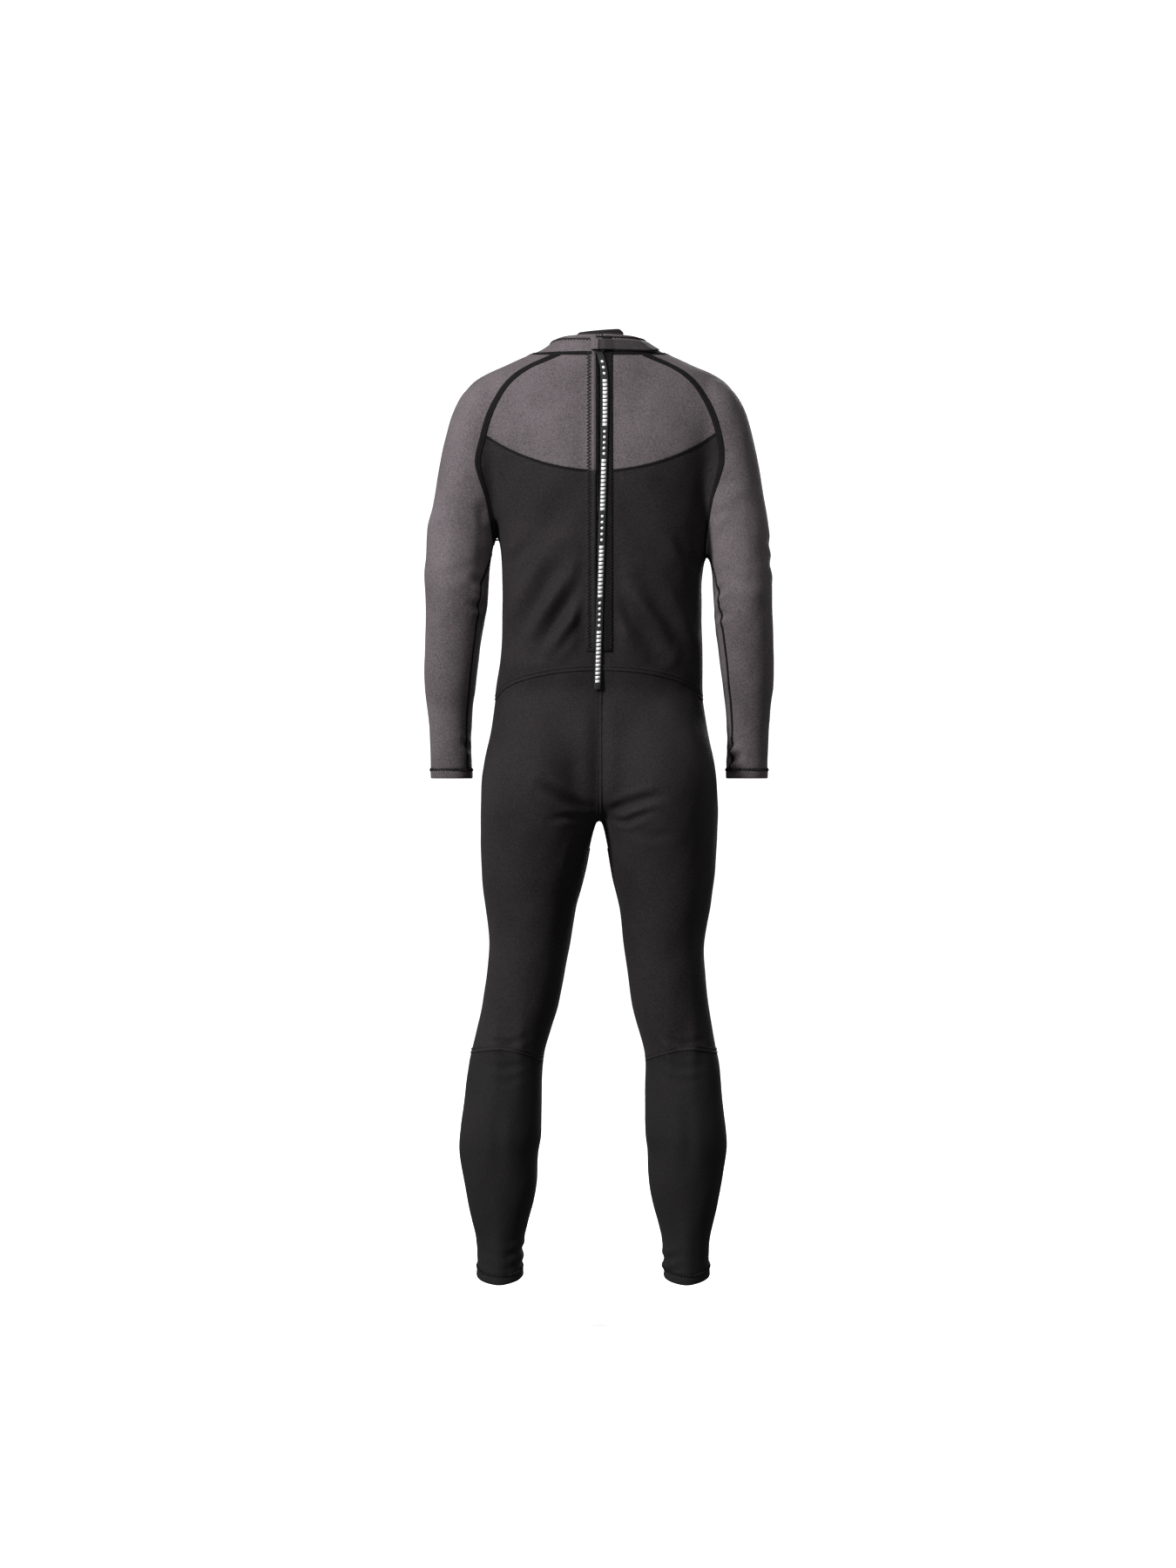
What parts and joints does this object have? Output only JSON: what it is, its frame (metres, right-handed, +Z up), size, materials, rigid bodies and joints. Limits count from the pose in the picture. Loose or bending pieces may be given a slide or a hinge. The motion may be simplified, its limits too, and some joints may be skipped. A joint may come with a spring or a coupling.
{
  "type": "full wetsuit",
  "caption": "Full-length neoprene wetsuit with long sleeves, panelled body, back zip with a pull strap, closing neck tab and knee pads.",
  "frame": {"origin": "centre of the neck opening, level with the collar seam at the back", "axes": "+Z up the wearer's body, -Y the back with the zip, +X the wearer's right"},
  "size_m": [0.5622, 0.2558, 1.5236],
  "materials": {
    "grey_neoprene": "matte",
    "black_neoprene": "matte",
    "knee_rubber": "satin",
    "seam_tape": "matte",
    "zip_tape": "matte",
    "zip_coil": "satin",
    "slider_metal": "satin",
    "strap_webbing": "matte",
    "hook_and_loop": "matte"
  },
  "bodies": {
    "suit": {"collar": "grey_neoprene", "back_yoke_left": "grey_neoprene", "back_yoke_right": "grey_neoprene", "back_panel_left": "black_neoprene", "back_panel_right": "black_neoprene", "front_yoke": "grey_neoprene", "front_panel": "black_neoprene", "sleeve_left": "grey_neoprene", "sleeve_right": "grey_neoprene", "leg_panel_left": "black_neoprene", "leg_panel_right": "black_neoprene", "knee_pad_left": "knee_rubber", "knee_pad_right": "knee_rubber", "lower_leg_left": "black_neoprene", "lower_leg_right": "black_neoprene", "cuff_hem_left": "grey_neoprene", "cuff_hem_right": "grey_neoprene", "ankle_hem_left": "black_neoprene", "ankle_hem_right": "black_neoprene", "collar_seam": "seam_tape", "raglan_seam_left": "seam_tape", "raglan_seam_right": "seam_tape", "back_yoke_seam_left": "seam_tape", "back_yoke_seam_right": "seam_tape", "front_yoke_seam": "seam_tape", "side_seam_left": "seam_tape", "side_seam_right": "seam_tape", "waist_seam": "seam_tape", "seat_seam": "seam_tape", "knee_seam_left": "seam_tape", "knee_seam_right": "seam_tape", "sleeve_seam_left": "seam_tape", "sleeve_seam_right": "seam_tape", "inner_leg_seam_left": "seam_tape", "inner_leg_seam_right": "seam_tape", "zip_guard": "black_neoprene", "zip_tape_left": "zip_tape", "zip_tape_right": "zip_tape", "zip_coil_left": "zip_coil", "zip_coil_right": "zip_coil", "zip_top_stops": "zip_coil", "zip_bottom_stop": "zip_coil", "neck_loop_pad": "hook_and_loop"},
    "slider": {"zip_slider": "slider_metal"},
    "puller": {"zip_puller": "slider_metal"},
    "strap": {"pull_strap": "strap_webbing", "strap_end": "strap_webbing"},
    "tab": {"neck_tab": "black_neoprene", "neck_tab_hooks": "hook_and_loop"}
  },
  "joints": [
    {"name": "zip_slide", "type": "hinge", "parent": "suit", "child": "slider", "pos_m": [0, 1.12953, -0.31921], "axis": [1, 0, 0], "range_deg": [0, 22.4]},
    {"name": "puller_lift", "type": "hinge", "parent": "slider", "child": "puller", "pos_m": [0, -0.06941, 0.00879], "axis": [-1, 0, 0], "range_deg": [0, 24.5]},
    {"name": "strap_swing", "type": "hinge", "parent": "puller", "child": "strap", "pos_m": [0, -0.07409, -0.00755], "axis": [-1, 0, 0], "range_deg": [0, 75]},
    {"name": "neck_tab_open", "type": "hinge", "parent": "suit", "child": "tab", "pos_m": [-0.01305, -0.06821, 0.006], "axis": [0, -0.2805, -0.9599], "range_deg": [0, 110]}
  ],
  "couplings": [
    {"joint": "puller_lift", "follows": "zip_slide", "ratio": 1.07}
  ]
}
